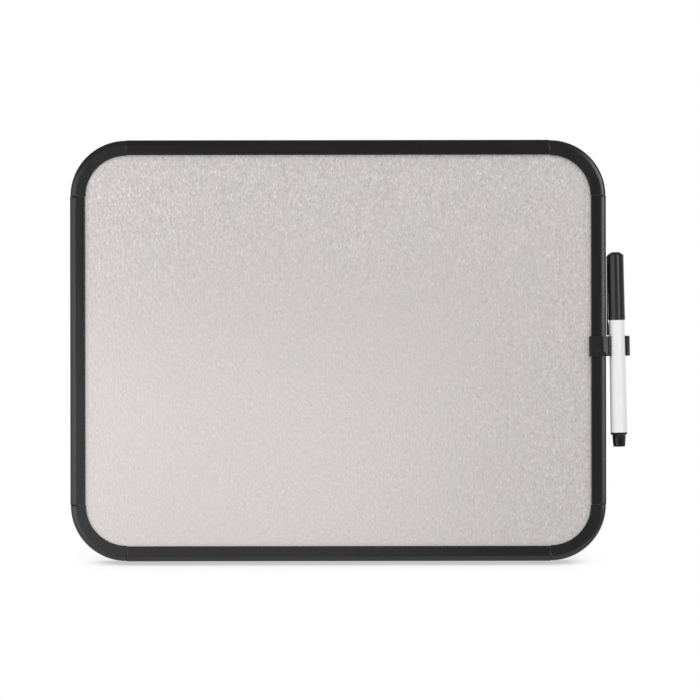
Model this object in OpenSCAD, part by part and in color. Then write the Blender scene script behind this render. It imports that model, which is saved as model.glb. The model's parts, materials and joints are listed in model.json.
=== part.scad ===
// Magnetic desk whiteboard on a fold-out easel leg, with a dry-wipe marker clipped to its right side.
// The board is drawn lying on its back: X runs across it, Y up it from its bottom edge, and Z from
// its back to its front. stood() leans it back on the desk, where Z is up and -Y is the front.

/* [Board] */
// Width of the board over its frame
board_w = 355.6; // [240:0.1:610]
// Height of the board over its frame
board_h = 279.4; // [240:0.1:460]
// Outer radius of the frame's corners
corner_r = 37.2; // [28:0.1:60]
// Length of the tongue that a corner pushes into a rail
tongue_l = 18; // [8:0.5:40]
// How much smaller a moulded corner's section is than a rail's, outside
seam_step = 0.25; // [0:0.05:0.4]
// How far a corner's inner edge stands out past a rail's
seam_lap = 0.4; // [0:0.05:0.8]
// Open joint between a rail's end and a corner
seam_gap = 0.2; // [0.05:0.05:0.6]

/* [Frame profile] */
// Width of the frame's front face, with its sloping edge
frame_face = 10; // [9:0.1:14]
// Depth of the frame from back to front
frame_d = 12.5; // [12:0.1:16]
// Width of the slope beside the frame's outer edge
slope_w = 3.5; // [2:0.1:4.5]
// How far the slope falls from the face to the outer edge
slope_drop = 0.7; // [0.4:0.1:1.2]
// Thickness of the lip that holds the panel from the front
lip_t = 1.8; // [1.2:0.1:2.6]
// Wall of the rail's rear chamber
wall = 1.4; // [1:0.1:1.6]
// Chamfer along the frame's rear edges
rear_edge = 0.6; // [0.2:0.1:1.2]
// Depth of the groove that takes the panel's edge
groove_depth = 6.5; // [4:0.1:7]

/* [Panel] */
// Thickness of the coated steel writing sheet
sheet_t = 0.4; // [0.2:0.1:0.8]
// Thickness of the fibreboard core
core_t = 3.4; // [2.6:0.1:3.8]
// Thickness of the backing sheet
backing_t = 0.4; // [0.2:0.1:0.8]
// Free play between the panel's edge and the bottom of the groove
panel_play = 0.4; // [0.2:0.1:0.8]

/* [Easel hinge] */
// Angle by which the board leans back from upright
lean = 16; // [14:1:24]
// Distance from the board's top edge down to the hinge pin
hinge_drop = 83.4; // [60:0.1:120]
// Distance of the hinge pin behind the frame's back
pin_behind = 5.5; // [5.3:0.1:9]
// Diameter of the hinge pin
pin_d = 3; // [2:0.1:4]
// Diameter of the knuckle round the pin
knuckle_d = 8.4; // [6.6:0.1:9]
// Width of the leg's neck between the bracket's ears
neck_w = 23.4; // [14:0.1:30]
// Thickness of each ear of the bracket
ear_t = 4.5; // [3:0.1:6]
// Length of an ear along the bracket's plate
ear_foot = 30; // [16:0.5:38]
// Thickness of the bracket's plate
plate_t = 2.4; // [1.6:0.1:3.4]
// Height of the bracket's plate, up the board
plate_h = 44; // [42:0.5:60]
// Width of the screw flange outside each ear
plate_flange = 10; // [8:0.5:16]

/* [Bracket screws] */
// Diameter of a screw's shank
screw_d = 2.6; // [2:0.1:3]
// Diameter of a screw's pan head
screw_head_d = 5.4; // [4.6:0.1:6.4]
// Height of a screw's pan head
screw_head_t = 1.8; // [1.2:0.1:2.4]
// How far a screw bites into the panel
screw_bite = 3.2; // [2:0.1:3.4]

/* [Easel leg] */
// Angle of the open leg from upright, behind the board
leg_tilt = 12; // [8:1:14]
// Thickness of the leg over its flanges
leg_t = 7; // [5:0.1:7]
// Thickness of the leg's skin and flanges
leg_wall = 2; // [1.4:0.1:2.6]
// Width of the leg below the hinge
shoulder_w = 36; // [32:0.5:50]
// Width of the leg at the foot
foot_w = 64; // [40:0.5:90]
// Length of the neck below the pin
neck_l = 20; // [20:0.5:30]
// Length over which the neck widens to the shoulder
flare_l = 16; // [8:0.5:24]
// Length of the heel above the pin, which stops the leg
heel_l = 17; // [15:0.1:19]
// Number of cross ribs in the leg
rib_count = 5; // [1:1:8]
// Thickness of the leg's ribs
rib_t = 1.6; // [1:0.1:2.4]
// Wall of the rubber shoe round the leg's end
shoe_wall = 1.5; // [1:0.1:1.5]
// Height of the rubber shoe
shoe_h = 9; // [6:0.5:14]
// Thickness of the shoe's sole
sole_t = 2; // [1.2:0.1:4]

/* [Marker clip] */
// Height of the clip's middle above the board's bottom edge
clip_at = 142.3; // [110:0.1:170]
// Length of the clip along the rail
clip_l = 13.3; // [9:0.1:20]
// Wall of the saddle that grips the rail
clip_wall = 1.1; // [0.8:0.1:1.8]
// Free play of the saddle on the rail
clip_play = 0.25; // [0.2:0.05:0.4]
// Depth of the saddle's hooks past the rail's edges
hook_depth = 1.1; // [0.6:0.1:1.2]
// Angle by which the clip sits askew in its play
clip_skew = 1.1; // [0:0.1:1.1]
// Inner radius of the ring that holds the marker
ring_r = 5.7; // [5.7:0.05:6.2]
// Wall of the ring
ring_t = 2.4; // [1.6:0.1:3]
// Half the width of the ring's mouth
mouth_half = 5.33; // [5.33:0.01:5.36]
// Angle by which the ring's mouth turns outwards from the front
mouth_turn = 25; // [15:1:25]
// Distance from the rail's outer edge to the ring's middle
ring_out = 7.75; // [7.75:0.05:10]
// How far the marker lies from the ring's middle, towards the rail
marker_shift = 0.2; // [0:0.05:0.2]
// Height of the ring's axis above the frame's back
ring_z = 7.5; // [5.5:0.1:8]
// Chamfer along the saddle's inner front edge
saddle_chamfer = 1.1; // [0.4:0.1:1.4]

/* [Marker] */
// Length of the end plug that shows below the barrel
plug_l = 9.4; // [6:0.1:14]
// Length of the barrel from the end plug to the cap
barrel_l = 74.7; // [60:0.1:90]
// Radius of the barrel at its plug end
barrel_r_low = 5.6; // [5.4:0.01:5.7]
// Radius of the barrel at the cap
barrel_r_top = 5.15; // [4.9:0.01:5.2]
// Bore of the barrel
bore_r = 4.1; // [3.6:0.05:4.2]
// Length of the barrel that goes into the cap
spigot_l = 6; // [4:0.1:12]
// Distance from the plug's tip up to the middle of the clip
grip_at = 66.9; // [55:0.1:70]
// Length of the cap
cap_l = 45; // [40:0.1:60]
// Radius of the cap at its lip
cap_r_lip = 5.6; // [5.5:0.01:5.7]
// Radius of the cap at its shoulder
cap_r_top = 5.4; // [5.2:0.01:5.42]
// Wall of the cap
cap_wall = 0.75; // [0.6:0.05:0.85]
// Width of the cap's pocket clip
pocket_w = 4.6; // [3:0.1:6]
// Thickness of the pocket clip's root on the cap's shoulder
pocket_root = 0.45; // [0.3:0.05:0.45]
// How much further the pocket clip's tip stands out than its root
pocket_slant = 1.04; // [0.8:0.02:1.04]
// Radius of the felt nib
nib_r = 2; // [1.2:0.1:2.6]
// Length of the nib holder's cone
cone_l = 10.5; // [8:0.1:16]
// Length of the nib outside its holder
nib_l = 5.5; // [4:0.1:8]

/* [Hidden] */
$fn = 64;

black_plastic = [0.16, 0.16, 0.17];
slip = 0.05;     // gap between pieces that seat on each other
running = 0.08;  // radial clearance of a pin that turns
press = 0.02;    // radial clearance of a pin that is pressed in
past = 1;        // how far a cut runs past the face it opens

// ---- Derived sizes of the frame and the panel ----
lip_r = 0.5;
brow_r = 3;      // where the face turns into its slope
shoulder_r = 1.6; // where the slope turns into the side
saddle_r = 0.5;
panel_t = sheet_t + core_t + backing_t;
groove_h = panel_t + 2 * slip;
groove_z = frame_d - lip_t - groove_h;
panel_back = groove_z + slip;
sheet_front = panel_back + panel_t;
panel_edge = frame_face - groove_depth + panel_play;
panel_w = board_w - 2 * panel_edge;
panel_h = board_h - 2 * panel_edge;
panel_r = corner_r - panel_edge;
tongue_play = 0.15;
tongue_w = frame_face - 2 * wall - 2 * tongue_play;
tongue_t = groove_z - 2 * wall - 2 * tongue_play;
tongue_tip = 1;

// ---- Derived sizes of the easel ----
hinge_y = board_h - hinge_drop;
pin_z = -pin_behind;
leg_open = lean + leg_tilt;
pin_height = hinge_y * cos(lean) + (pin_z - rear_edge) * sin(lean);
leg_l = pin_height / cos(leg_tilt);
ear_x = neck_w / 2 + 0.3;
ear_r = knuckle_d / 2 + 0.4;
plate_z = panel_back - plate_t;
plate_w = 2 * (ear_x + ear_t + plate_flange);
screw_x = plate_w / 2 - plate_flange / 2 + 0.5;
screw_y = plate_h / 2 - 6;
pin_head_t = 1;

// ---- Derived sizes of the clip and the marker ----
clip_grow = clip_play + clip_wall;
plate_step = 0.3;
tip_r = ring_t / 2 + 0.15;
tip_middle = ring_r + ring_t / 2;
tip_reach = mouth_half + tip_r;
tip_near = mouth_turn + acos((tip_reach + marker_shift * cos(mouth_turn)) / tip_middle);
tip_far = acos((tip_reach - marker_shift * cos(mouth_turn)) / tip_middle) - mouth_turn;
marker_out = ring_out - marker_shift;
plug_bead = 1;
cap_at = plug_l + barrel_l + slip;
cap_top = cap_at + cap_l;
collar_l = 1.6;
collar = 0.1;
shank_r = bore_r - press;
shank_l = 4.5;
section_at = plug_l + barrel_l + spigot_l;
nib_tip = section_at + cone_l + nib_l;
lip_bead = 0.12;
pocket_top = cap_top - 2;
pocket_tip = grip_at + clip_l / 2 + 0.4;

// ---------------------------------------------------------------- Outline helpers

// Points of the arc of radius r that rounds the corner p1 between the lines to p0 and p2.
function fillet(p0, p1, p2, r) =
    let (
        u = (p0 - p1) / norm(p0 - p1),
        v = (p2 - p1) / norm(p2 - p1),
        half = acos(u * v) / 2,
        steps = max(2, ceil((180 - 2 * half) / 12)),
        middle = p1 + (u + v) / norm(u + v) * r / sin(half),
        start = p1 + u * r / tan(half) - middle,
        end = p1 + v * r / tan(half) - middle,
        from = atan2(start.y, start.x),
        turn = atan2(end.y, end.x) - from,
        sweep = turn > 180 ? turn - 360 : turn < -180 ? turn + 360 : turn
    )
    [for (i = [0 : steps]) middle + r * [cos(from + sweep * i / steps), sin(from + sweep * i / steps)]];

// An outline whose points are [x, y, corner radius].
function rounded(points) =
    let (n = len(points), flat = [for (p = points) [p.x, p.y]])
    [
        for (i = [0 : n - 1])
            each (points[i][2] == 0
                ? [flat[i]]
                : fillet(flat[(i + n - 1) % n], flat[i], flat[(i + 1) % n], points[i][2]))
    ];

module rounded_rect(w, h, r) {
    square([w - 2 * r, h], center = true);
    square([w, h - 2 * r], center = true);
    for (sx = [-1, 1], sy = [-1, 1])
        translate([sx * (w / 2 - r), sy * (h / 2 - r)]) circle(r);
}

// ---------------------------------------------------------------- Placing

// Leans the flat-lying board back on the desk, on the lower rear edge of its bottom rail.
module stood() {
    rotate([90 - lean, 0, 0]) translate([0, 0, -rear_edge]) children();
}

// Turns one side of the board to the front: 0 bottom, 1 right, 2 top, 3 left.
module at_side(side) {
    half = side % 2 == 0 ? board_h / 2 : board_w / 2;
    translate([0, board_h / 2, 0]) rotate([0, 0, 90 * side]) translate([0, -half, 0]) children();
}

// The open leg's own frame: the pin at the origin, the leg along -Y and the board on +Z.
module on_hinge() {
    translate([0, hinge_y, pin_z]) rotate([leg_open, 0, 0]) children();
}

// The clip sits a little askew on the right rail and carries the marker with it.
module askew() {
    at = [board_w / 2 - frame_face / 2, clip_at, 0];
    translate(at) rotate([0, 0, clip_skew]) translate(-at) children();
}

// The marker's own frame: Z along the marker, from the tip of its end plug.
module along_marker() {
    askew() translate([board_w / 2 + marker_out, clip_at - grip_at, ring_z]) rotate([-90, 0, 0]) children();
}

// ---------------------------------------------------------------- Frame

// The outer half of the frame's section, grown by g: x inward from the outer edge, y from the back.
function outer_edge(g, r = shoulder_r) =
    let (tilt = atan(slope_drop / slope_w), k = g * tan(22.5))
    [
        [slope_w - g * tan(tilt / 2), frame_d + g, brow_r],
        [-g, frame_d - slope_drop + g * tan(45 - tilt / 2), r],
        [-g, rear_edge - k, 0],
        [rear_edge - k, -g, 0],
    ];

// The whole section, grown by g, with its inner edge lap further in.
function rail_outline(g = 0, lap = 0) =
    rounded(concat(outer_edge(g), [
        [frame_face + g + lap, -g, 0],
        [frame_face + g + lap, frame_d + g, lip_r],
    ]));

module panel_groove() {
    translate([frame_face - groove_depth, groove_z]) square([groove_depth + past, groove_h]);
}

// The extruded rail: a groove for the panel in front of a closed chamber for the corners' tongues.
module rail_section() {
    difference() {
        polygon(rail_outline());
        panel_groove();
        translate([wall, wall]) square([frame_face - 2 * wall, groove_z - 2 * wall]);
    }
}

module rail(side) {
    length = (side % 2 == 0 ? board_w : board_h) - 2 * (corner_r + seam_gap);
    color(black_plastic)
        stood() at_side(side)
            translate([-length / 2, 0, 0]) rotate([90, 0, 90]) linear_extrude(length) rail_section();
}

// A tongue on the end face of a corner, pointing along -Y into the rail's chamber.
module tongue() {
    translate([corner_r - frame_face + wall + tongue_play, 0, wall + tongue_play])
        linear_extrude(tongue_t)
            polygon([
                [0, past], [tongue_w, past],
                [tongue_w, tongue_tip - tongue_l], [tongue_w - tongue_tip, -tongue_l],
                [tongue_tip, -tongue_l], [0, tongue_tip - tongue_l],
            ]);
}

module elbow() {
    rotate_extrude(angle = 90) translate([corner_r, 0]) mirror([1, 0]) difference() {
        polygon(rail_outline(-seam_step, seam_step + seam_lap));
        panel_groove();
    }
    tongue();
    mirror([1, -1, 0]) tongue();
}

// Corners are numbered like the sides that they end: 0 bottom right, 1 top right, 2 top left, 3 bottom left.
module corner(number) {
    sx = number < 2 ? 1 : -1;
    sy = number == 1 || number == 2 ? 1 : -1;
    color(black_plastic)
        stood()
            translate([sx * (board_w / 2 - corner_r), board_h / 2 + sy * (board_h / 2 - corner_r), 0])
                rotate([0, 0, 90 * (number - 1)]) elbow();
}

// ---------------------------------------------------------------- Panel

module panel_layer(z, thickness) {
    translate([0, board_h / 2, z]) linear_extrude(thickness) rounded_rect(panel_w, panel_h, panel_r);
}

module at_screws() {
    for (sx = [-1, 1], sy = [-1, 1])
        translate([sx * screw_x, hinge_y + sy * screw_y, plate_z]) children();
}

module screw_holes(r) {
    at_screws() cylinder(r = r, h = plate_t + screw_bite + slip);
}

module writing_sheet() {
    color([0.82, 0.81, 0.8]) stood() panel_layer(panel_back + backing_t + core_t, sheet_t);
}

module core_board() {
    color([0.55, 0.43, 0.3])
        stood() difference() {
            panel_layer(panel_back + backing_t, core_t);
            screw_holes(screw_d / 2 + press);
        }
}

module backing_sheet() {
    color([0.6, 0.6, 0.6])
        stood() difference() {
            panel_layer(panel_back, backing_t);
            screw_holes(screw_d / 2 + press);
        }
}

// ---------------------------------------------------------------- Hinge

module ear() {
    rotate([90, 0, 90]) linear_extrude(ear_t) hull() {
        translate([hinge_y - ear_foot / 2, plate_z]) square([ear_foot, plate_t / 2]);
        translate([hinge_y, pin_z]) circle(ear_r, $fn = 32);
    }
}

module hinge_bracket() {
    color(black_plastic)
        stood() difference() {
            union() {
                translate([0, hinge_y, plate_z]) linear_extrude(plate_t) rounded_rect(plate_w, plate_h, 4);
                translate([ear_x, 0, 0]) ear();
                translate([-ear_x - ear_t, 0, 0]) ear();
            }
            translate([-plate_w, hinge_y, pin_z])
                rotate([0, 90, 0]) cylinder(d = pin_d + 2 * press, h = 2 * plate_w);
            screw_holes(screw_d / 2 + 0.2);
        }
}

module bracket_screws() {
    color("silver")
        stood() at_screws() {
            translate([0, 0, -slip]) rotate([180, 0, 0]) cylinder(d = screw_head_d, h = screw_head_t);
            translate([0, 0, -screw_head_t / 2]) cylinder(d = screw_d, h = plate_t + screw_bite + screw_head_t / 2);
        }
}

// A plain pin, pressed through both ears, with a flat head on one side.
module hinge_pin() {
    length = 2 * (ear_x + ear_t);
    color("silver")
        stood() translate([-length / 2, hinge_y, pin_z]) rotate([0, 90, 0]) {
            cylinder(d = pin_d, h = length + 0.5);
            translate([0, 0, -pin_head_t - slip]) cylinder(d = pin_d + 2, h = pin_head_t);
            translate([0, 0, -pin_head_t / 2]) cylinder(d = pin_d, h = pin_head_t);
        }
}

// ---------------------------------------------------------------- Leg

// Outline of the leg, drawn in by i: heel and neck between the ears, then a flare down to the foot.
module leg_outline(i = 0) {
    right = [
        [neck_w / 2 - i, heel_l - i],
        [neck_w / 2 - i, -neck_l - i],
        [shoulder_w / 2 - i, -neck_l - flare_l - i],
        [foot_w / 2 - i, -leg_l + i],
    ];
    polygon(concat(right, [for (n = [len(right) - 1 : -1 : 0]) [-right[n].x, right[n].y]]));
}

// Everything below the desk, lifted by rise, in the leg's own frame.
module desk(rise = 0) {
    translate([0, -leg_l, 0]) rotate([-leg_tilt, 0, 0])
        translate([-foot_w, rise - 2 * shoe_h, -foot_w]) cube([2 * foot_w, 2 * shoe_h, 2 * foot_w]);
}

module leg_ribs() {
    span = leg_l - neck_l - flare_l;
    translate([-rib_t / 2, -leg_l, 0]) cube([rib_t, leg_l - neck_l, leg_t - leg_wall]);
    for (n = [1 : rib_count])
        translate([-foot_w / 2, -neck_l - flare_l - span * n / (rib_count + 1), 0])
            cube([foot_w, rib_t, leg_t - leg_wall]);
}

// A moulded channel, open towards the board, that ends in a knuckle and a heel.
module easel_leg() {
    color(black_plastic)
        stood() on_hinge() difference() {
            union() {
                translate([0, 0, -leg_t / 2]) {
                    linear_extrude(leg_wall) leg_outline();
                    linear_extrude(leg_t) difference() {
                        leg_outline();
                        leg_outline(leg_wall);
                    }
                    translate([-neck_w / 2, -neck_l, 0]) cube([neck_w, neck_l + heel_l, leg_t]);
                    intersection() {
                        leg_ribs();
                        linear_extrude(leg_t) leg_outline();
                    }
                }
                rotate([0, 90, 0]) cylinder(d = knuckle_d, h = neck_w, center = true);
            }
            rotate([0, 90, 0]) cylinder(d = pin_d + 2 * running, h = 2 * neck_w, center = true);
            heel_stop();
            desk(sole_t);
        }
}

// The bracket's plate as the open leg meets it, which shapes the heel into a stop.
module heel_stop() {
    rotate([-leg_open, 0, 0])
        translate([-neck_w, 0, plate_z - pin_z - slip]) cube([2 * neck_w, 2 * heel_l, 2 * heel_l]);
}

module leg_foot() {
    color([0.1, 0.1, 0.1])
        stood() on_hinge() difference() {
            translate([-foot_w / 2 - shoe_wall, -leg_l - shoe_h / 2, -leg_t / 2 - shoe_wall])
                cube([foot_w + 2 * shoe_wall, 1.5 * shoe_h, leg_t + 2 * shoe_wall]);
            desk();
            difference() {
                translate([-foot_w / 2 - slip, -leg_l - shoe_h, -leg_t / 2 - slip])
                    cube([foot_w + 2 * slip, 3 * shoe_h, leg_t + 2 * slip]);
                desk(sole_t - slip);
            }
        }
}

// ---------------------------------------------------------------- Marker clip

// The saddle wraps the rail and hooks over its two inner edges.
module saddle_section() {
    inner = frame_face + clip_grow;
    front = frame_d + clip_grow;
    difference() {
        polygon(rounded(concat(outer_edge(clip_grow, saddle_r), [
            [inner, -clip_grow, 0],
            [inner, front - saddle_chamfer, 0],
            [inner - saddle_chamfer, front, 0],
        ])));
        translate([frame_face - past, hook_depth])
            square([clip_grow + 2 * past, frame_d - 2 * hook_depth]);
    }
}

// A C-shaped ring with a round bead on each tip. Its mouth is as wide as the barrel, seen along the
// way that the marker leaves, which turns outwards from the front.
module ring_section() {
    reach = 2 * (ring_r + ring_t);
    ends = [tip_near, 180 - tip_far];
    steps = 8;
    difference() {
        circle(ring_r + ring_t);
        circle(ring_r);
        polygon(concat([[0, 0]], [
            for (n = [0 : steps])
                let (a = ends[0] + (ends[1] - ends[0]) * n / steps)
                reach * [cos(a), sin(a)]
        ]));
    }
    for (a = ends)
        translate(tip_middle * [cos(a), sin(a)]) circle(tip_r);
}

module clip_section() {
    difference() {
        union() {
            saddle_section();
            translate([-ring_out, ring_z]) ring_section();
        }
        translate([-ring_out, ring_z]) circle(ring_r);
    }
}

// The raised plate on the saddle's front. Its lower end flares out to the ring's near tip.
module front_plate() {
    outer = 1.9;
    flare = 1.5;
    inner = frame_face + clip_grow - saddle_chamfer;
    translate([0, 0, frame_d - 1]) linear_extrude(1 + clip_grow + plate_step)
        polygon([[0, -flare], [outer + flare, outer], [clip_l, outer], [clip_l, inner], [0, inner]]);
}

module marker_clip() {
    color([0.13, 0.13, 0.14])
        stood() askew() at_side(1) translate([clip_at - board_h / 2 - clip_l / 2, 0, 0]) difference() {
            union() {
                rotate([90, 0, 90]) linear_extrude(clip_l) clip_section();
                front_plate();
            }
            rotate([90, 0, 90]) translate([0, 0, -past])
                linear_extrude(clip_l + 2 * past) polygon(rail_outline(clip_play));
        }
}

// ---------------------------------------------------------------- Marker

module marker_barrel() {
    color("white")
        stood() along_marker() rotate_extrude() polygon([
            [bore_r, plug_l + slip],
            [barrel_r_low + 0.06, plug_l + slip],
            [barrel_r_low + 0.06, plug_l + plug_bead],
            [barrel_r_low, plug_l + plug_bead + 0.2],
            [barrel_r_top, plug_l + barrel_l - collar_l - 0.2],
            [barrel_r_top + collar, plug_l + barrel_l - collar_l],
            [barrel_r_top + collar, plug_l + barrel_l],
            [cap_r_lip - cap_wall - 0.1, plug_l + barrel_l],
            [cap_r_lip - cap_wall - 0.25, section_at],
            [bore_r, section_at],
        ]);
}

// The plug flares out to the barrel's width over a grooved grip.
module marker_plug() {
    color([0.07, 0.07, 0.07])
        stood() along_marker() rotate_extrude() polygon([
            [0, 0],
            [3.6, 0],
            [4.05, 0.6],
            [4.45, plug_l - 3.2],
            [4.55, plug_l - 3],
            [4.55, plug_l - 2.6],
            [4.25, plug_l - 2.4],
            [4.45, plug_l - 2],
            [barrel_r_low, plug_l - 0.9],
            [barrel_r_low + 0.06, plug_l],
            [shank_r, plug_l],
            [shank_r, plug_l + shank_l],
            [0, plug_l + shank_l],
        ]);
}

module ink_reservoir() {
    color([0.85, 0.85, 0.8])
        stood() along_marker()
            translate([0, 0, plug_l + shank_l + slip])
                cylinder(r = bore_r - 2 * slip, h = barrel_l + spigot_l - 2 * shank_l - 2 * slip);
}

// The nib holder: a shank in the barrel's mouth and a cone round the nib.
module marker_section() {
    color([0.1, 0.1, 0.1])
        stood() along_marker() rotate_extrude() polygon([
            [nib_r + press, section_at - shank_l],
            [shank_r, section_at - shank_l],
            [shank_r, section_at + slip],
            [cap_r_lip - cap_wall - 0.3, section_at + slip],
            [cap_r_lip - cap_wall - 0.6, section_at + 2],
            [nib_r + 0.9, section_at + cone_l - 0.5],
            [nib_r + 0.5, section_at + cone_l],
            [nib_r + press, section_at + cone_l],
        ]);
}

module marker_nib() {
    round_l = nib_l / 2;
    color([0.05, 0.05, 0.05])
        stood() along_marker() rotate_extrude() polygon(concat(
            [[0, section_at - shank_l], [nib_r, section_at - shank_l]],
            [for (a = [0 : 15 : 90]) [nib_r * cos(a), nib_tip - round_l + round_l * sin(a)]]
        ));
}

// The pocket clip, seen from the side: it springs from the cap's shoulder, runs down beside the rail
// and swells towards the barrel below the cap's lip.
module pocket_clip() {
    clear = 0.1;
    top_x = -cap_r_top - pocket_root;
    tip_x = top_x - pocket_slant;
    lip_x = -cap_r_lip - lip_bead - clear;
    barrel_x = -barrel_r_top - collar - clear;
    bridge = 5;
    neck = cap_at - 1;
    translate([0, pocket_w / 2, 0]) rotate([90, 0, 0]) linear_extrude(pocket_w)
        polygon(rounded([
            [-cap_r_top + cap_wall, pocket_top, 0],
            [top_x, pocket_top, 1],
            [tip_x, pocket_tip, 0.8],
            [barrel_x, pocket_tip, 0.5],
            [barrel_x, neck - 2, 0],
            [lip_x, neck, 0],
            [lip_x, cap_at + 2, 0],
            [-cap_r_top - clear, pocket_top - bridge, 0],
            [-cap_r_top + cap_wall, pocket_top - bridge, 0],
        ]));
}

module marker_cap() {
    crown = 1.9;
    color([0.1, 0.1, 0.11])
        stood() along_marker() {
            rotate_extrude() polygon([
                [cap_r_lip - cap_wall, cap_at],
                [cap_r_lip, cap_at],
                [cap_r_lip, cap_at + 1],
                [cap_r_lip + lip_bead, cap_at + 1.3],
                [cap_r_lip + lip_bead, cap_at + 1.7],
                [cap_r_lip - 0.02, cap_at + 2],
                [cap_r_top, cap_top - crown],
                [cap_r_top - 0.3, cap_top - crown + 0.3],
                [cap_r_top / 2, cap_top],
                [0, cap_top],
                [0, cap_top - crown],
                [cap_r_top - cap_wall - 0.4, cap_top - crown - 0.4],
            ]);
            pocket_clip();
        }
}

// ---------------------------------------------------------------- The board, piece by piece

writing_sheet();
core_board();
backing_sheet();
rail(0);  // rail_bottom
rail(1);  // rail_right
rail(2);  // rail_top
rail(3);  // rail_left
corner(0);  // corner_bottom_right
corner(1);  // corner_top_right
corner(2);  // corner_top_left
corner(3);  // corner_bottom_left
hinge_bracket();
bracket_screws();
hinge_pin();
easel_leg();
leg_foot();
marker_clip();
marker_barrel();
marker_plug();
marker_section();
marker_nib();
ink_reservoir();
marker_cap();
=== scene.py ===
# %% [markdown]
# # A desk whiteboard on its easel leg
# The object is a sheet of silvery dry-wipe steel in a black plastic frame. A leg folds out behind it,
# and a marker hangs in a clip that slides on the right side of the frame. The hard pieces come
# from the construction model and are never moved here. This lesson gives them their finish, and it
# models what is too fine for the construction: screw heads, a gate mark and the shoe's grooves.

# %% Load the frame
import json
import math

import bmesh
import bpy
from mathutils import Matrix, Vector


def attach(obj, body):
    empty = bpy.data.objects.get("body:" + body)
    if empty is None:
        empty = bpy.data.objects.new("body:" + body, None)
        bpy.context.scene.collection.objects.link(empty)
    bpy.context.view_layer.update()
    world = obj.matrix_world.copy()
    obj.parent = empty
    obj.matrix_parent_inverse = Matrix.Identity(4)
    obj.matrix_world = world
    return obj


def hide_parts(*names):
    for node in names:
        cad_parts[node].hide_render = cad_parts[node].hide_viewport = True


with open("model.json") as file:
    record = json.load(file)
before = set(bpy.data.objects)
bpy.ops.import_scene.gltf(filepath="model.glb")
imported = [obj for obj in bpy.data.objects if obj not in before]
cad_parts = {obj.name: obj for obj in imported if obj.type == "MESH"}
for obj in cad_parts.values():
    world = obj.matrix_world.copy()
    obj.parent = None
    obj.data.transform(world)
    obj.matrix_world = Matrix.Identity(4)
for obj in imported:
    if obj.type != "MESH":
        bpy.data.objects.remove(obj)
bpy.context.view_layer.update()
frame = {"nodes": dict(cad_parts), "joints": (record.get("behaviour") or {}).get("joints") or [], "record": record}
nodes = frame["nodes"]
print("construction pieces:", len(nodes))

# %% [markdown]
# ## Where things are
# The board leans back, so its sides aren't parallel to the world's axes. It is easier to think of it as
# lying on its back: x across, y up the board and z from its back to its front. One matrix takes such a
# point to its place on the leaning board. The lean comes from the writing face's own direction, and the
# sizes come from the pieces, so nothing here has to be fitted.

# %% The board's own frame
MM = 0.001
REAR_EDGE = 0.6 * MM  # chamfer on which the board stands
mounts = {mount["name"]: mount for mount in frame["record"]["mounts"]}
facing = Vector(mounts["writing_face"]["axis"]).normalized()
lean = math.asin(facing.z)
lie_to_stand = Matrix.Rotation(math.pi / 2 - lean, 4, "X") @ Matrix.Translation((0, 0, -REAR_EDGE))
stand_to_lie = lie_to_stand.inverted()


def lying_box(node):
    """Lowest and highest corner of a construction piece, in the lying board's frame."""
    points = [stand_to_lie @ vertex.co for vertex in nodes[node].data.vertices]
    return (
        Vector(min(p[i] for p in points) for i in range(3)),
        Vector(max(p[i] for p in points) for i in range(3)),
    )


board_low, board_high = lying_box("rail_left")[0], lying_box("rail_right")[1]
board_width = board_high.x - board_low.x
board_height = lying_box("rail_top")[1].y
frame_depth = board_high.z
print(f"board {board_width / MM:.1f} by {board_height / MM:.1f} mm")
print(f"leaning back by {math.degrees(lean):.1f} degrees")

# %% [markdown]
# ## The camera
# The photograph was taken square to the board from far away: its outline is a true rectangle with round
# corners. So the camera looks along the writing face's normal through a long lens. The board's width in
# the picture gives the width of the field, and the place of its edges gives the point that is aimed at.

# %% Camera
PICTURE = 700  # pixels across
BOARD_LEFT, BOARD_RIGHT = 70.2, 606.1  # the board's sides in the picture, in pixels
BOARD_TOP, BOARD_BOTTOM = 140.7, 560.4
FRAME_EDGE = 2.3 * MM  # the frame is widest this far behind its face
SENSOR = 36  # millimetres
DISTANCE = 2.8  # metres
FARTHEST = 50  # metres, as far as the camera sees
ROLL = math.radians(-0.08)

metres_per_pixel = board_width / (BOARD_RIGHT - BOARD_LEFT)
aim = Vector((
    (PICTURE / 2 - (BOARD_LEFT + BOARD_RIGHT) / 2) * metres_per_pixel,
    board_height / 2 + ((BOARD_TOP + BOARD_BOTTOM) / 2 - PICTURE / 2) * metres_per_pixel,
    frame_depth - FRAME_EDGE,
))

camera_data = bpy.data.cameras.new("camera")
camera_data.sensor_width = SENSOR
camera_data.lens = SENSOR * DISTANCE / (PICTURE * metres_per_pixel)
camera_data.clip_end = FARTHEST
camera = bpy.data.objects.new("camera", camera_data)
bpy.context.scene.collection.objects.link(camera)
camera.matrix_world = (
    lie_to_stand
    @ Matrix.Translation(aim + Vector((0, 0, DISTANCE)))
    @ Matrix.Rotation(ROLL, 4, "Z")
)
bpy.context.scene.camera = camera
bpy.context.scene.view_settings.view_transform = "Standard"
print(f"lens {camera_data.lens:.0f} mm from {DISTANCE} m")

# %% [markdown]
# ## Nodes in few words
# Every material below is a small network of nodes, and a few helpers keep the networks readable. The
# first two add a node and feed its inputs. The others are the nodes that are needed most: maths on
# numbers and on vectors, a smooth change of range, noise, a mix of two colours, and the turn that lays
# a point of the leaning board on its back.

# %% Helpers for single nodes


def feed(tree, socket, value):
    """Links a node's output to socket, or sets socket to a plain value."""
    if isinstance(value, bpy.types.NodeSocket):
        tree.links.new(value, socket)
    else:
        socket.default_value = value


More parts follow.
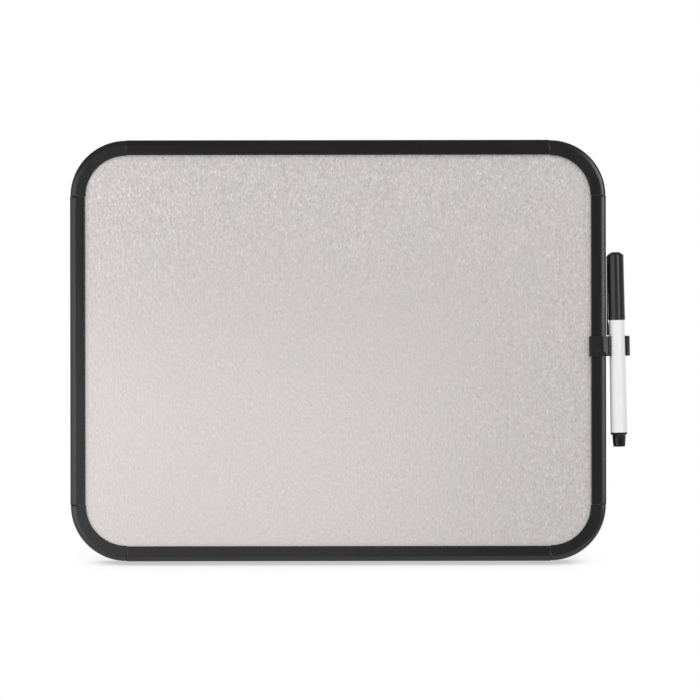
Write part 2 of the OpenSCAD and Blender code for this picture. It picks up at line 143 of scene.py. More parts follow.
def add(tree, kind, settings=None, **inputs):
    """Adds a node. settings are its own fields, and inputs go by the input's name or as n0, n1."""
    node = tree.nodes.new("ShaderNode" + kind)
    for field, value in (settings or {}).items():
        setattr(node, field, value)
    for name, value in inputs.items():
        key = int(name[1:]) if name[0] == "n" and name[1:].isdigit() else name.replace("_", " ")
        feed(tree, node.inputs[key], value)
    return node


def maths(tree, operation, *values):
    inputs = {f"n{i}": value for i, value in enumerate(values)}
    return add(tree, "Math", {"operation": operation}, **inputs).outputs[0]


def vector(tree, operation, *values):
    """Maths on vectors. A dot product and a length are numbers, and all else is a vector."""
    inputs = {f"n{i}": value for i, value in enumerate(values)}
    node = add(tree, "VectorMath", {"operation": operation}, **inputs)
    return node.outputs["Value" if operation in ("DOT_PRODUCT", "LENGTH") else "Vector"]


def remap(tree, value, low, high, to_low=0.0, to_high=1.0):
    """Maps low..high to to_low..to_high, smoothly and without overshoot."""
    settings = {"interpolation_type": "SMOOTHSTEP"}
    return add(tree, "MapRange", settings, n0=value, n1=low, n2=high, n3=to_low, n4=to_high).outputs[0]


def noise(tree, at, scale, detail=2.0, roughness=0.5):
    """Noise between 0 and 1, with about scale spots to the metre."""
    return add(tree, "TexNoise", Vector=at, Scale=scale, Detail=detail, Roughness=roughness).outputs[0]


def mix_colour(tree, factor, first, second):
    node = add(tree, "Mix", {"data_type": "RGBA"}, n0=factor)
    for number, colour in ((6, first), (7, second)):
        feed(tree, node.inputs[number], (*colour, 1.0) if isinstance(colour, tuple) else colour)
    return node.outputs[2]


def lay(tree, here):
    """Turns a place on the leaning board into x across it, y up it and z out of it."""
    settings = {"vector_type": "POINT"}
    return add(tree, "Mapping", settings, Vector=here, Rotation=(lean - math.pi / 2, 0, 0)).outputs[0]


# %% [markdown]
# ## Node groups
# A group is the right home for an effect that many finishes share, such as moulded grain or dust. It is
# built once, with named inputs and outputs, and each material places it with its own values.

# %% Helpers for node groups


def group(title, inputs, outputs):
    """Starts a node group and returns its tree, its inputs by name and a function that sets an output."""
    tree = bpy.data.node_groups.new(title, "ShaderNodeTree")
    for name, value in inputs.items():
        kind = "NodeSocketVector" if value is None else "NodeSocketFloat"
        socket = tree.interface.new_socket(name, in_out="INPUT", socket_type=kind)
        if value is not None:
            socket.default_value = value
    for name in outputs:
        tree.interface.new_socket(name, in_out="OUTPUT", socket_type="NodeSocketFloat")
    entry = tree.nodes.new("NodeGroupInput")
    leave = tree.nodes.new("NodeGroupOutput")
    return tree, entry.outputs, lambda name, value: tree.links.new(value, leave.inputs[name])


def place(tree, shared, **inputs):
    """Places a shared group in a material."""
    node = tree.nodes.new("ShaderNodeGroup")
    node.node_tree = shared
    for name, value in inputs.items():
        feed(tree, node.inputs[name.replace("_", " ")], value)
    return node.outputs


# %% [markdown]
# ## Moulded grain
# Moulded plastic isn't smooth. A spark-eroded mould leaves a fine grain, and a slow waviness shows in
# long reflections. The slow noise also changes the gloss a little from place to place.

# %% Shared effect: moulded grain
WAVES_PER_METRE = 45.0

grain_group, grain_in, grain_out = group(
    "moulded grain", {"Place": None, "Grain size": 0.4, "Grain": 1.0, "Waviness": 1.0}, ["Height", "Gloss"]
)
grains_per_metre = maths(grain_group, "DIVIDE", 1 / MM, grain_in["Grain size"])
fine = noise(grain_group, grain_in["Place"], grains_per_metre, roughness=0.6)
slow = noise(grain_group, grain_in["Place"], WAVES_PER_METRE, detail=1.0)
fine_height = maths(grain_group, "MULTIPLY", fine, grain_in["Grain"])
slow_height = maths(grain_group, "MULTIPLY", slow, grain_in["Waviness"])
grain_out("Height", maths(grain_group, "ADD", fine_height, slow_height))
grain_out("Gloss", remap(grain_group, slow, 0.35, 0.65, -1.0, 1.0))
print("group:", grain_group.name)

# %% [markdown]
# ## Worn edges
# Handled edges turn lighter. An edge is where the normal that the Bevel node rounds differs from the
# surface's own, and noise breaks the wear into patches, since no edge wears evenly.

# %% Shared effect: worn edges
wear_group, wear_in, wear_out = group(
    "worn edges", {"Place": None, "Radius": 0.4 * MM, "Wear": 1.0}, ["Mask"]
)
rounded = add(wear_group, "Bevel", {"samples": 6}, Radius=wear_in["Radius"]).outputs[0]
plain = add(wear_group, "NewGeometry").outputs["Normal"]
sharpness = remap(wear_group, vector(wear_group, "DOT_PRODUCT", rounded, plain), 0.985, 0.9)
patchy = remap(wear_group, noise(wear_group, wear_in["Place"], 140.0, detail=3.0), 0.35, 0.7)
worn_patches = maths(wear_group, "MULTIPLY", sharpness, patchy)
wear_out("Mask", maths(wear_group, "MULTIPLY", worn_patches, wear_in["Wear"]))
print("group:", wear_group.name)

# %% [markdown]
# ## Dust
# Dust settles where a surface faces up. Fine noise makes its specks, and slow noise thins it here and
# there, as air and hands do.

# %% Shared effect: dust
dust_group, dust_in, dust_out = group("dust", {"Place": None, "Dust": 1.0}, ["Mask"])
surface = add(dust_group, "NewGeometry").outputs["Normal"]
upward = add(dust_group, "SeparateXYZ", n0=surface).outputs["Z"]
facing_up = remap(dust_group, upward, 0.3, 1.0)
dust_specks = remap(dust_group, noise(dust_group, dust_in["Place"], 900.0, 4.0, 0.7), 0.45, 0.75)
settled = maths(dust_group, "MULTIPLY", dust_specks, facing_up)
cloudy = maths(dust_group, "MULTIPLY", settled, noise(dust_group, dust_in["Place"], 30.0))
dust_out("Mask", maths(dust_group, "MULTIPLY", cloudy, dust_in["Dust"]))
print("group:", dust_group.name)

# %% [markdown]
# ## The frame's soft brow
# The real frame slopes down to its rim in a soft curve, and its highlight is a soft band. The
# construction has that slope with small roundings, so here the normals are rounded a little further
# with Blender's Bevel node. That is done only near the board's outline, which keeps the frame's inner
# edge crisp: a point's distance from the rounded outline says where to stop.

# %% Shared effect: rounded brow
CORNER_RADIUS = 37.2 * MM  # of the board's outline
RIM = 6 * MM  # width of the band along the outline that is rounded
FADE = 0.3 * MM  # the rounding stops softly, over twice this
BROW_RADIUS = 1.4 * MM

brow_group, brow_in, brow_out = group("near the outline", {"Place": None}, ["Mask"])
from_middle = vector(brow_group, "SUBTRACT", brow_in["Place"], (0, board_height / 2, 0))
apart = vector(brow_group, "ABSOLUTE", from_middle)
straight_part = (board_width / 2 - CORNER_RADIUS, board_height / 2 - CORNER_RADIUS, 1)
past_straight = vector(brow_group, "SUBTRACT", apart, straight_part)
beyond = vector(brow_group, "MAXIMUM", past_straight, (0, 0, 0))
reach = vector(brow_group, "LENGTH", beyond)
band_radius = CORNER_RADIUS - RIM
brow_out("Mask", remap(brow_group, reach, band_radius - FADE, band_radius + FADE))


def brow_normal(tree, here):
    """The surface's normal, rounded near the board's outline."""
    near = place(tree, brow_group, Place=lay(tree, here))["Mask"]
    soft = add(tree, "Bevel", {"samples": 8}, Radius=BROW_RADIUS).outputs[0]
    hard = add(tree, "NewGeometry").outputs["Normal"]
    blend = add(tree, "Mix", {"data_type": "VECTOR"}, n0=near, n4=hard, n5=soft)
    return vector(tree, "NORMALIZE", blend.outputs[1])


print("group:", brow_group.name)

# %% [markdown]
# ## Black plastics
# The corners, clip, cap and leg are all black plastic, and yet none looks like the next: a moulded
# corner is satin, the clip is glossier, and the leg has a coarse grain that hides finger marks. One
# function takes those differences, and it makes the marker's white barrel and the rubber too.

# %% Plastic finish
DUST = (0.34, 0.33, 0.31)
COAT_ROUGHNESS = 0.07
UNEVEN_GLOSS = 0.03  # how far roughness strays from its mean


def start_material(name):
    """A new material, with its node tree and its shader."""
    material = bpy.data.materials.new(name)
    material.use_nodes = True
    tree = material.node_tree
    return material, tree, tree.nodes["Principled BSDF"]


def emboss(tree, shader, height, normal=None):
    """Lights the surface as if it stood out by height, in millimetres, from normal or from its own."""
    bump = add(tree, "Bump", Strength=1.0, Distance=MM, Height=height)
    if normal is not None:
        tree.links.new(normal, bump.inputs["Normal"])
    tree.links.new(bump.outputs[0], shader.inputs["Normal"])


def plastic(name, colour, worn, roughness, grain=0.02, size=0.4, wave=0.05, wear=0.6, dust=0.3,
            specular=0.5, brow=False, coat=0.0):
    """A plastic: grain and wave are heights in millimetres, size the grain's size in millimetres."""
    material, tree, shader = start_material(name)
    here = add(tree, "TexCoord").outputs["Object"]
    grainy = place(tree, grain_group, Place=here, Grain_size=size, Grain=grain, Waviness=wave)
    edges = place(tree, wear_group, Place=here, Wear=wear)
    dusty = place(tree, dust_group, Place=here, Dust=dust)
    colour_worn = mix_colour(tree, edges["Mask"], colour, worn)
    tree.links.new(mix_colour(tree, dusty["Mask"], colour_worn, DUST), shader.inputs["Base Color"])
    unevenness = maths(tree, "MULTIPLY_ADD", grainy["Gloss"], UNEVEN_GLOSS, roughness)
    tree.links.new(maths(tree, "ADD", unevenness, dusty["Mask"]), shader.inputs["Roughness"])
    emboss(tree, shader, grainy["Height"], brow_normal(tree, here) if brow else None)
    shader.inputs["Coat Weight"].default_value = coat
    shader.inputs["Coat Roughness"].default_value = COAT_ROUGHNESS
    shader.inputs["Specular IOR Level"].default_value = specular
    return material


finishes = {
    "corner_plastic": plastic(
        "moulded corner", (0.014, 0.014, 0.0155), (0.07, 0.07, 0.075), 0.22, grain=0.004, brow=True
    ),
    "easel_plastic": plastic(
        "grained easel", (0.018, 0.018, 0.019), (0.06, 0.06, 0.062), 0.5, grain=0.05, size=0.7, dust=0.8
    ),
    "clip_plastic": plastic(
        "clip", (0.0105, 0.0105, 0.0115), (0.08, 0.08, 0.085), 0.28, grain=0.004, size=0.5
    ),
    "cap_plastic": plastic(
        "cap", (0.012, 0.012, 0.0135), (0.06, 0.06, 0.065), 0.33, grain=0.003, size=0.3
    ),
    "plug_plastic": plastic(
        "plug", (0.006, 0.006, 0.0065), (0.05, 0.05, 0.05), 0.2, grain=0.002, size=0.3, specular=0.3
    ),
    "barrel_plastic": plastic(
        "barrel", (0.88, 0.88, 0.89), (0.8, 0.8, 0.8), 0.4,
        grain=0.001, size=0.5, wave=0.02, wear=0.2, dust=0.05, coat=0.1
    ),
    "foot_rubber": plastic(
        "rubber", (0.012, 0.012, 0.012), (0.05, 0.05, 0.05), 0.75, grain=0.03, size=0.25, dust=1.0
    ),
}
print("plastics:", ", ".join(finishes))

# %% [markdown]
# ## The extruded rails
# A rail is drawn through a die, so it carries faint lines along its length. The noise is stretched a
# hundredfold along the rail, which runs along x on two sides and up the board on the other two.

# %% Rail finish
DIE_LINES_PER_METRE = 2000
STRETCH = 100
RAIL_BLACK, RAIL_WORN = (0.0102, 0.0102, 0.0104), (0.06, 0.06, 0.062)


def rail_plastic(name, along_x):
    """Satin black plastic with die lines, along x or up the board."""
    material, tree, shader = start_material(name)
    here = add(tree, "TexCoord").outputs["Object"]
    along, across = DIE_LINES_PER_METRE / STRETCH, DIE_LINES_PER_METRE
    stretched = (along, across, across) if along_x else (across, along, across)
    lines = noise(tree, vector(tree, "MULTIPLY", lay(tree, here), stretched), 1.0)
    grainy = place(tree, grain_group, Place=here, Grain_size=0.35, Grain=0.003, Waviness=0.05)
    edges = place(tree, wear_group, Place=here, Wear=0.5)
    dusty = place(tree, dust_group, Place=here, Dust=0.35)
    worn = mix_colour(tree, edges["Mask"], RAIL_BLACK, RAIL_WORN)
    tree.links.new(mix_colour(tree, dusty["Mask"], worn, DUST), shader.inputs["Base Color"])
    tree.links.new(remap(tree, lines, 0.3, 0.7, 0.2, 0.26), shader.inputs["Roughness"])
    relief = maths(tree, "MULTIPLY_ADD", lines, 0.006, grainy["Height"])
    emboss(tree, shader, relief, brow_normal(tree, here))
    return material


rail_across = rail_plastic("rail across", True)
rail_upright = rail_plastic("rail upright", False)
print("rails:", rail_across.name, "and", rail_upright.name)

# %% [markdown]
# ## The writing sheet
# The sheet is steel under a silvery dry-wipe coat. Its orange-peel surface breaks the light of the
# room into short upright specks, so they are relief in the coat, a bump, with a faint change of
# colour from the metallic flake. Towards the top and the right the specks also carry painted glints
# and painted shade: their colour is made lighter or darker there, standing in for reflections of the lamps.

# %% Sheet finish: its colour
SILVER, SILVER_CLOUD, SILVER_FLAKE = (0.685, 0.655, 0.643), (0.703, 0.66, 0.656), (0.765, 0.725, 0.717)
PAINTED_GLINT, PAINTED_SPECK_SHADE = (0.893, 0.86, 0.856), (0.58, 0.553, 0.548)
SLENDER = 0.42  # a speck's width over its height

sheet_material, tree, shader = start_material("dry-wipe coat")
laid = lay(tree, add(tree, "TexCoord").outputs["Object"])
upright = vector(tree, "MULTIPLY", laid, (1.0, SLENDER, 1.0))
flake = noise(tree, upright, 900.0, roughness=0.65)
cloud = noise(tree, laid, 35.0)
tone = mix_colour(tree, remap(tree, cloud, 0.35, 0.65), SILVER, SILVER_CLOUD)
tone = mix_colour(tree, remap(tree, flake, 0.42, 0.68), tone, SILVER_FLAKE)

# Painted glints and painted shade: towards the top and the right, specks are coloured lighter or darker than the
# coat, standing in for reflections.
along = add(tree, "SeparateXYZ", n0=laid).outputs
to_the_right = remap(tree, along["X"], 0.0, 0.2)
to_the_top = remap(tree, along["Y"], 0.1, 0.27)
glint_area = maths(tree, "MAXIMUM", to_the_right, to_the_top)
speck = noise(tree, upright, 1150.0, detail=1.0)
glint_mask = maths(tree, "MULTIPLY", remap(tree, speck, 0.55, 0.72), glint_area)
speck_shade_mask = maths(tree, "MULTIPLY", remap(tree, speck, 0.45, 0.3), glint_area)
tone = mix_colour(tree, glint_mask, tone, PAINTED_GLINT)
tone = mix_colour(tree, speck_shade_mask, tone, PAINTED_SPECK_SHADE)
tree.links.new(tone, shader.inputs["Base Color"])
print("sheet colour:", len(tree.nodes), "nodes")

# %% [markdown]
# The coat is glossy, but not a mirror. Its roughness follows the flake, and the relief of the orange
# peel and of the flake is what breaks the light into specks. A little of it is metal, as in silver paint.

# %% Sheet finish: its gloss and relief
PEEL_HEIGHT, FLAKE_HEIGHT = 0.1, 0.03  # millimetres

tree.links.new(remap(tree, flake, 0.3, 0.7, 0.28, 0.2), shader.inputs["Roughness"])
peel_relief = maths(tree, "MULTIPLY", noise(tree, upright, 700.0, detail=0.5), PEEL_HEIGHT)
flake_relief = maths(tree, "MULTIPLY", flake, FLAKE_HEIGHT)
emboss(tree, shader, maths(tree, "ADD", peel_relief, flake_relief))
shader.inputs["Metallic"].default_value = 0.24
shader.inputs["Coat Weight"].default_value = 0.2
shader.inputs["Coat Roughness"].default_value = 0.15
finishes["sheet_enamel"] = sheet_material
print("sheet finish:", sheet_material.name)

# %% [markdown]
# ## Fibreboard, card and felt
# Behind the sheet the panel is plain: pressed fibres in the core, and grey card over them. The nib and
# the reservoir are fibre too. All four are long noise in two tones, drawn out along the fibres, and the
# same noise is their relief.

# %% Fibrous finishes


def fibrous(name, dark, light, scale, stretch, roughness, height):
    """A pressed or felted stuff. scale is its fibres to the metre, height their height in millimetres."""
    material, tree, shader = start_material(name)
    here = add(tree, "TexCoord").outputs["Object"]
    drawn = vector(tree, "MULTIPLY", lay(tree, here), stretch)
    fibres = noise(tree, drawn, scale, 5.0, 0.7)
    stains = noise(tree, here, 12.0)
    blend = maths(tree, "MULTIPLY_ADD", stains, 0.3, maths(tree, "MULTIPLY", fibres, 0.8))
    dusty = place(tree, dust_group, Place=here, Dust=0.6)
    tone = mix_colour(tree, remap(tree, blend, 0.35, 0.75), dark, light)
    tree.links.new(mix_colour(tree, dusty["Mask"], tone, DUST), shader.inputs["Base Color"])
    emboss(tree, shader, maths(tree, "MULTIPLY", fibres, height))
    shader.inputs["Roughness"].default_value = roughness
    return material


finishes["fibreboard"] = fibrous(
    "fibreboard", (0.12, 0.07, 0.04), (0.3, 0.2, 0.12), 500.0, (1, 0.6, 1), 0.85, 0.05
)
finishes["backing_card"] = fibrous(
    "card", (0.36, 0.34, 0.31), (0.46, 0.44, 0.41), 700.0, (0.25, 1, 1), 0.8, 0.03
)
finishes["nib_felt"] = fibrous(
    "felt", (0.006, 0.006, 0.008), (0.03, 0.03, 0.035), 1500.0, (1, 0.3, 1), 0.95, 0.05
)
finishes["reservoir_fibre"] = fibrous(
    "fibre", (0.05, 0.05, 0.06), (0.4, 0.4, 0.42), 1200.0, (1, 0.1, 1), 0.9, 0.05
)
print("finishes so far:", len(finishes))

# %% [markdown]
# ## Steel
# The screws are zinc-plated and the pin is drawn steel. Both are bare metal with a little tarnish, and
# the pin's noise is drawn out along x, its own length, into the lines that drawing leaves.

# %% Steel finishes


def steel(name, colour, roughness, stretch):
    """Bare or plated steel, with drawing lines where stretch is uneven."""
    material, tree, shader = start_material(name)
    here = add(tree, "TexCoord").outputs["Object"]
    lines = noise(tree, vector(tree, "MULTIPLY", here, stretch), 2500.0, detail=3.0)
    tarnished = remap(tree, noise(tree, here, 300.0, detail=3.0), 0.4, 0.75, 0.0, 0.5)
    tarnish = tuple(0.55 * part for part in colour)
    tree.links.new(mix_colour(tree, tarnished, colour, tarnish), shader.inputs["Base Color"])
    uneven = remap(tree, lines, 0.3, 0.7, roughness - 0.06, roughness + 0.08)
    tree.links.new(uneven, shader.inputs["Roughness"])
    emboss(tree, shader, maths(tree, "MULTIPLY", lines, 0.004))
    shader.inputs["Metallic"].default_value = 1.0
    return material


finishes["screw_steel"] = steel("zinc plate", (0.62, 0.61, 0.58), 0.26, (1, 1, 1))
finishes["pin_steel"] = steel("drawn steel", (0.5, 0.49, 0.48), 0.24, (0.05, 1, 1))
print("all finishes:", len(finishes), "and two for the rails")

# %% [markdown]
# ## Dressing the construction pieces
# Each piece takes the finish of its slot in the record. Its mesh stays as it is. A tiny bevel, put on
# as a modifier, breaks its sharp edges, because no moulded edge is truly sharp and the bevel is what
# catches the light. The three sheets of the panel are cut from flat stock and need none.

# %% Finish and edges of the construction pieces
EDGE = {
    "marker_clip": 0.12, "hinge_bracket": 0.3, "easel_leg": 0.25, "hinge_pin": 0.15,
    "marker_cap": 0.08, "marker_barrel": 0.06, "marker_plug": 0.08,
}
USUAL_EDGE = 0.1  # millimetres, as in EDGE
FLAT_STOCK = ("sheet_enamel", "fibreboard", "backing_card")
slots = {part["node"]: part["material_slot"] for part in frame["record"]["subparts"]}


def modify(piece, kind, **fields):
    """Puts a modifier on a piece and sets its fields."""
    modifier = piece.modifiers.new(kind.lower(), kind)
    for field, value in fields.items():
        setattr(modifier, field, value)


def bevel_edges(piece, width):
    """Rounds every edge sharper than 30 degrees, by width in millimetres."""
    modify(piece, "BEVEL", width=width * MM, segments=2, limit_method="ANGLE", angle_limit=math.radians(30))


def soften(piece, width):
    """Breaks a construction piece's sharp edges.

    Loose triangles are welded and flat ones joined first. The last two modifiers keep flat faces flat:
    edges that stay sharp are split, and elsewhere the largest face decides the normal.
    """
    modify(piece, "WELD", merge_threshold=1e-6)
    modify(piece, "DECIMATE", decimate_type="DISSOLVE", angle_limit=math.radians(0.5))
    bevel_edges(piece, width)
    modify(piece, "EDGE_SPLIT", split_angle=math.radians(40))
    modify(piece, "WEIGHTED_NORMAL", mode="FACE_AREA", weight=50)


for name, piece in nodes.items():
    slot = slots[name]
    if slot == "frame_plastic":
        finish = rail_across if name in ("rail_top", "rail_bottom") else rail_upright
    else:
        finish = finishes[slot]
    piece.data.materials.clear()
    piece.data.materials.append(finish)
    if slot not in FLAT_STOCK:
        piece.data.shade_smooth()
        soften(piece, EDGE.get(name, USUAL_EDGE))
print("dressed", len(nodes), "pieces")

# %% [markdown]
# ## Shapes that are spun
# Screws, marks and nubs are round, so each starts as half an outline that is spun about z. Where an
# outline starts and ends on the axis, the spin closes it into a solid.

# %% Spun shapes
SHARP = math.radians(35)  # joined shapes keep edges above this angle


def spun(name, outline, turns=48, axis_closed=True):
    """Spins an outline of (radius, height) pairs, in millimetres, about z. Returns its mesh."""
    work = bmesh.new()
    corners = [work.verts.new((radius * MM, 0, height * MM)) for radius, height in outline]
    pairs = list(zip(corners, corners[1:]))
    if not axis_closed:
        pairs.append((corners[-1], corners[0]))
    profile = corners + [work.edges.new(pair) for pair in pairs]
    bmesh.ops.spin(
        work, geom=profile, axis=(0, 0, 1), cent=(0, 0, 0), angle=2 * math.pi, steps=turns
    )
    bmesh.ops.remove_doubles(work, verts=work.verts, dist=1e-7)
    bmesh.ops.recalc_face_normals(work, faces=work.faces)
    mesh = bpy.data.meshes.new(name)
    work.to_mesh(mesh)
    work.free()
    return mesh


def assembled(name, placed, finish):
    """Joins (mesh, matrix) pairs into one object at the origin, and keeps its sharp edges sharp."""
    work = bmesh.new()
    for mesh, matrix in placed:
        start = len(work.verts)
        work.from_mesh(mesh)
        work.verts.ensure_lookup_table()
        bmesh.ops.transform(work, matrix=matrix, verts=work.verts[start:])
    whole = bpy.data.meshes.new(name)
    work.to_mesh(whole)
    work.free()
    whole.shade_smooth()
    whole.set_sharp_from_angle(angle=SHARP)
    whole.materials.append(finish)
    piece = bpy.data.objects.new(name, whole)
    bpy.context.scene.collection.objects.link(piece)
    return piece


# %% [markdown]
# ## Pan-head screws
# In the construction the bracket's four screws have plain round heads. Here each gets a domed head
# with a cross recess. The screw is spun, and two crossed wedges are cut from its head with the Boolean
# modifier, because a recess with slanting walls is easier to take away than to build.

# %% A screw's head
HEAD_RADIUS, HEAD_HEIGHT, SHANK_RADIUS = 2.7, 1.8, 1.3  # millimetres
POINT = 0.8  # length of the screw's point
RECESS = (3.2, 0.75, 2.2)  # one wedge: its length, width and twice its depth
TAPER = (0.55, 0.6, 1)  # its deep end against its open one

screws_low, screws_high = lying_box("bracket_screws")
tip = (screws_high.z - screws_low.z) / MM
pan = spun("pan head", [
    (0, 0), (1.3, 0.03), (2.05, 0.2), (2.5, 0.55), (HEAD_RADIUS, 1.1), (HEAD_RADIUS, HEAD_HEIGHT),
    (SHANK_RADIUS, HEAD_HEIGHT), (SHANK_RADIUS, tip - POINT), (SHANK_RADIUS - 0.5, tip), (0, tip),
])
wedges = bmesh.new()
for turn in (0, math.pi / 2):
    start = len(wedges.verts)
    bmesh.ops.create_cube(wedges, size=1.0)
    wedges.verts.ensure_lookup_table()
    wedge = wedges.verts[start:]
    bmesh.ops.scale(wedges, verts=wedge, vec=Vector(RECESS) * MM)
    deep_end = [vertex for vertex in wedge if vertex.co.z > 0]
    bmesh.ops.scale(wedges, verts=deep_end, vec=TAPER)
    bmesh.ops.rotate(wedges, verts=wedge, cent=(0, 0, 0), matrix=Matrix.Rotation(turn, 3, "Z"))
cross_mesh = bpy.data.meshes.new("cross")
wedges.to_mesh(cross_mesh)
wedges.free()
head = bpy.data.objects.new("head", pan)
cross = bpy.data.objects.new("cross", cross_mesh)
for made in (head, cross):
    bpy.context.scene.collection.objects.link(made)
modify(head, "BOOLEAN", object=cross, operation="DIFFERENCE", solver="EXACT", use_self=True)
recessed = bpy.data.meshes.new_from_object(head.evaluated_get(bpy.context.evaluated_depsgraph_get()))
for made in (head, cross):
    bpy.data.objects.remove(made)
print("one screw:", len(recessed.polygons), "faces")

# %% [markdown]
# ## The bracket's four screws
# The screws go where the construction has them, in two columns and two rows. Every screw ends at its
# own angle, as a hand leaves it, and the four of them take the place of the construction's screws.

# %% Bracket screws
SCREW_TURNS = (0.5, 1.3, 0.2, 0.9)  # radians

columns = (screws_low.x + HEAD_RADIUS * MM, screws_high.x - HEAD_RADIUS * MM)
rows = (screws_low.y + HEAD_RADIUS * MM, screws_high.y - HEAD_RADIUS * MM)
driven = []
for number, turn in enumerate(SCREW_TURNS):
    seat = Matrix.Translation((columns[number % 2], rows[number // 2], screws_low.z))
    driven.append((recessed, lie_to_stand @ seat @ Matrix.Rotation(turn, 4, "Z")))
screws = assembled("pan_head_screws", driven, finishes["screw_steel"])
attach(screws, "board")
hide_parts("bracket_screws")
print("screws:", len(screws.data.polygons), "faces")

# %% [markdown]
# ## The clip's gate mark
# Where the plastic entered the mould, the clip's front plate carries a low round bead with the broken
# gate in its middle. It is the only mark on the front, and it turns with the clip's slight skew.

# %% Gate mark
SKEW = math.radians(1.1)  # the clip sits this much askew
MARK_IN = 5.9 * MM  # from the board's side
MARK_DOWN = 2.6 * MM  # from the clip's middle
MARK_SUNK = 0.02 * MM  # into the clip's face

clip_low, clip_high = lying_box("marker_clip")
clip_middle = (clip_low.y + clip_high.y) / 2
mark_at = Vector((board_high.x - MARK_IN, clip_middle - MARK_DOWN, clip_high.z - MARK_SUNK))
bead_outline = [(1.12, 0), (1.16, 0.09), (1.26, 0.13), (1.36, 0.09), (1.4, 0), (1.26, -0.1)]
bead = spun("bead", bead_outline, turns=40, axis_closed=False)
nub = spun("nub", [(0, -0.1), (0.42, -0.1), (0.4, 0.05), (0.28, 0.12), (0.12, 0.1), (0, 0.06)], turns=20)
standing = lie_to_stand @ Matrix.Translation(mark_at) @ Matrix.Rotation(SKEW, 4, "Z")
gate = assembled("gate_mark", [(bead, standing), (nub, standing)], finishes["clip_plastic"])
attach(gate, "clip")
print("gate mark:", len(gate.data.polygons), "faces")

# %% [markdown]
# ## The rubber shoe
# A shoe that is pulled over the leg's end has grip grooves round its walls. Its outside starts as a copy
# of the construction's shoe, which already sits squarely on the desk. Planes across the leg cut
# its walls into bands, and every second band is inset and pushed in.

# %% Shoe: cut into bands
GROOVES_AT = (3.0, 5.0, 7.0)  # millimetres up the leg
GROOVE_WIDTH = 1.1  # millimetres
ABOVE_SOLE = 5 * MM  # from here up the shoe's walls are straight

pin = Vector(next(joint for joint in frame["joints"] if joint["name"] == "leg_fold")["pos_m"])
sole = Vector(mounts["foot_sole"]["pos_m"])
up_leg = (pin - sole).normalized()
through = Vector((1, 0, 0)).cross(up_leg)


def height_up(point):
    """How far up the leg a point is."""
    return (point - sole).dot(up_leg)


work = bmesh.new()
work.from_mesh(nodes["leg_foot"].data)
bmesh.ops.remove_doubles(work, verts=work.verts, dist=1e-6)
bmesh.ops.dissolve_limit(work, angle_limit=0.01, verts=work.verts, edges=work.edges)
wall_points = [vertex.co.copy() for vertex in work.verts if height_up(vertex.co) > ABOVE_SOLE]
half_width = max(abs(vertex.co.x) for vertex in work.verts)
half_depth = max(abs((point - sole).dot(through)) for point in wall_points)
bands = [(height * MM, (height + GROOVE_WIDTH) * MM) for height in GROOVES_AT]
for low, high in bands:
    for height in (low, high):
        everything = work.verts[:] + work.edges[:] + work.faces[:]
        bmesh.ops.bisect_plane(
            work, geom=everything, dist=1e-7, plane_co=sole + height * up_leg, plane_no=up_leg
        )
print(f"shoe {2 * half_width / MM:.1f} mm wide, with {len(bands)} bands")

# %% [markdown]
# The bands also run over the hidden walls of the socket inside the shoe. Only faces at the shoe's full
# width or depth are pushed in.

# %% Shoe: grip grooves
GROOVE_DEPTH, GROOVE_SLANT = 0.45 * MM, 0.2 * MM
NEAR_WALL = 0.5 * MM  # a face this close to the full size is outside
SHOE_EDGE = 0.18  # millimetres


def is_outside(face):
    at = face.calc_center_median() - sole
    return abs(at.x) > half_width - NEAR_WALL or abs(at.dot(through)) > half_depth - NEAR_WALL


for low, high in bands:
    band = [face for face in work.faces if low < height_up(face.calc_center_median()) < high]
    bmesh.ops.inset_region(
        work, faces=[face for face in band if is_outside(face)], thickness=GROOVE_SLANT,
        depth=-GROOVE_DEPTH, use_even_offset=True, use_boundary=True
    )
bmesh.ops.recalc_face_normals(work, faces=work.faces)
grooved = bpy.data.meshes.new("shoe")
work.to_mesh(grooved)
work.free()
shoe = assembled("grooved_shoe", [(grooved, Matrix.Identity(4))], finishes["foot_rubber"])
bevel_edges(shoe, SHOE_EDGE)
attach(shoe, "leg")
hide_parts("leg_foot")
print("shoe:", len(shoe.data.polygons), "faces")

# %% [markdown]
# ## The floor
# The floor is plain and pale. To the camera, to gloss and to glass it is white, like the photograph's
# backdrop, with a soft contact shadow close to the object. To every other ray it is an ordinary pale
# surface, so it throws no more light on the object than a table would.

# %% Floor
FLOOR_SIZE = 12.0  # metres
CONTACT = 0.05  # metres, the shadow's reach
DARKEST = 0.55  # the floor right under the object


def ray_is(tree, *kinds):
    """1 for rays of the named kinds, and 0 for all others."""
    path = add(tree, "LightPath").outputs
    answer = path[kinds[0]]
    for kind in kinds[1:]:
        answer = maths(tree, "MAXIMUM", answer, path[kind])
    return answer


floor_mesh = bpy.data.meshes.new("floor")
work = bmesh.new()
bmesh.ops.create_grid(work, x_segments=1, y_segments=1, size=FLOOR_SIZE / 2)
work.to_mesh(floor_mesh)
work.free()
floor = bpy.data.objects.new("floor", floor_mesh)
bpy.context.scene.collection.objects.link(floor)
floor_material, tree, shader = start_material("floor")
tree.nodes.remove(shader)
seen = ray_is(tree, "Is Camera Ray", "Is Glossy Ray", "Is Transmission Ray")
openness = add(tree, "AmbientOcclusion", {"samples": 16}, Distance=CONTACT).outputs["AO"]
shade = remap(tree, openness, 0.1, 0.85, DARKEST, 1.0)
glow = add(tree, "Emission", Color=(1, 1, 1, 1), Strength=shade).outputs[0]
matt = add(tree, "BsdfDiffuse", Color=(0.8, 0.8, 0.8, 1)).outputs[0]
blend = add(tree, "MixShader", n0=seen, n1=matt, n2=glow).outputs[0]
tree.links.new(blend, tree.nodes["Material Output"].inputs["Surface"])
floor_mesh.materials.append(floor_material)
print(f"floor {FLOOR_SIZE:.0f} m square")

# %% [markdown]
# ## The room
# The room is white where the camera sees it. Glossy faces mirror it white only behind the board, like
# the backdrop. To the sides, in front and overhead it is dark to them, as the rest of a studio would
# be, and that keeps the black plastic black. What lights matt surfaces is an even, plain level.

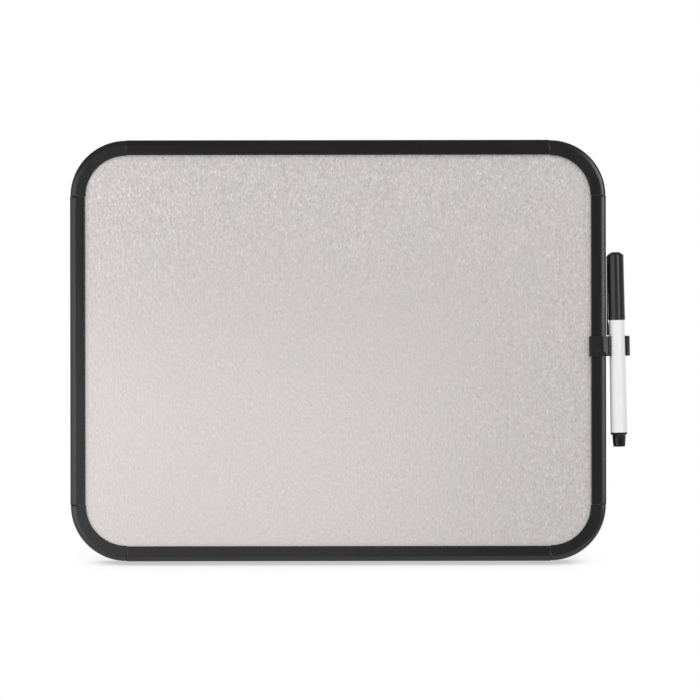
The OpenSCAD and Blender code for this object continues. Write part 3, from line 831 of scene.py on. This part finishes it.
# %% Room
ROOM_LEVEL = 0.54  # on matt surfaces
MIRRORED_DARK = 0.18  # the room's dark side in gloss

world = bpy.data.worlds.new("room")
bpy.context.scene.world = world
world.use_nodes = True
tree = world.node_tree
tree.nodes.clear()
towards = add(tree, "TexCoord").outputs["Generated"]
not_behind = remap(tree, vector(tree, "DOT_PRODUCT", towards, facing), -0.95, -0.6)
overhead = remap(tree, add(tree, "SeparateXYZ", n0=towards).outputs["Z"], 0.3, 0.85)
dark_side = maths(tree, "MAXIMUM", not_behind, overhead)
mirrored = remap(tree, dark_side, 0.0, 1.0, 1.0, MIRRORED_DARK)
in_gloss = ray_is(tree, "Is Glossy Ray", "Is Transmission Ray")
in_sight = ray_is(tree, "Is Camera Ray")
strength = add(tree, "Mix", {"data_type": "FLOAT"}, n0=in_gloss, n2=ROOM_LEVEL, n3=mirrored).outputs[0]
strength = add(tree, "Mix", {"data_type": "FLOAT"}, n0=in_sight, n2=strength, n3=1.0).outputs[0]
room = add(tree, "Background", Color=(1, 1, 1, 1), Strength=strength)
tree.links.new(room.outputs[0], add(tree, "OutputWorld").inputs[0])
print("room:", len(tree.nodes), "nodes")

# %% [markdown]
# ## Lamps
# A wide, dim window low on the left makes the sheet brightest there. The fill gives the bottom rail
# its sheen, and a far strip on the right draws the bright line along the right slope. The glossy sheet
# would mirror that strip as a glare from the left, so a flag keeps the strip off the sheet, and a soft
# wash from the top right lights the sheet in its place. Light linking is Blender's flag.

# %% Lamps


def softbox(name, place_at, width, height, radiance):
    """An area lamp that faces the board. Its place is in metres in the lying board's frame.

    Its radiance is how bright it looks, where 1 is white.
    """
    data = bpy.data.lights.new(name, "AREA")
    data.shape = "RECTANGLE"
    data.size, data.size_y = width, height
    data.energy = radiance * math.pi * width * height
    lamp = bpy.data.objects.new(name, data)
    bpy.context.scene.collection.objects.link(lamp)
    lamp.location = lie_to_stand @ Vector(place_at)
    middle = lie_to_stand @ Vector((0, board_height / 2, frame_depth))
    lamp.rotation_euler = (middle - lamp.location).to_track_quat("-Z", "Y").to_euler()
    return lamp


def light_only(lamp, title, piece, left_out):
    """Limits a lamp to one piece, or keeps it off that piece alone."""
    receivers = bpy.data.collections.new(title)
    receivers.objects.link(piece)
    receivers.collection_objects[0].light_linking.link_state = "EXCLUDE" if left_out else "INCLUDE"
    lamp.light_linking.receiver_collection = receivers


softbox("window", (-0.76, 0.14, 0.82), width=1.1, height=0.75, radiance=1.4)
softbox("fill", (-0.2, 0.03, 0.7), width=0.6, height=0.26, radiance=0.58)
strip = softbox("strip", (1.2, 0.55, 1.7), width=0.3, height=1.2, radiance=10.2)
wash = softbox("wash", (0.7, 1.2, 0.8), width=1.45, height=1.2, radiance=2.0)
light_only(strip, "off the sheet", nodes["writing_sheet"], left_out=True)
light_only(wash, "on the sheet", nodes["writing_sheet"], left_out=False)
print("lamps:", ", ".join(lamp.name for lamp in bpy.data.lights))
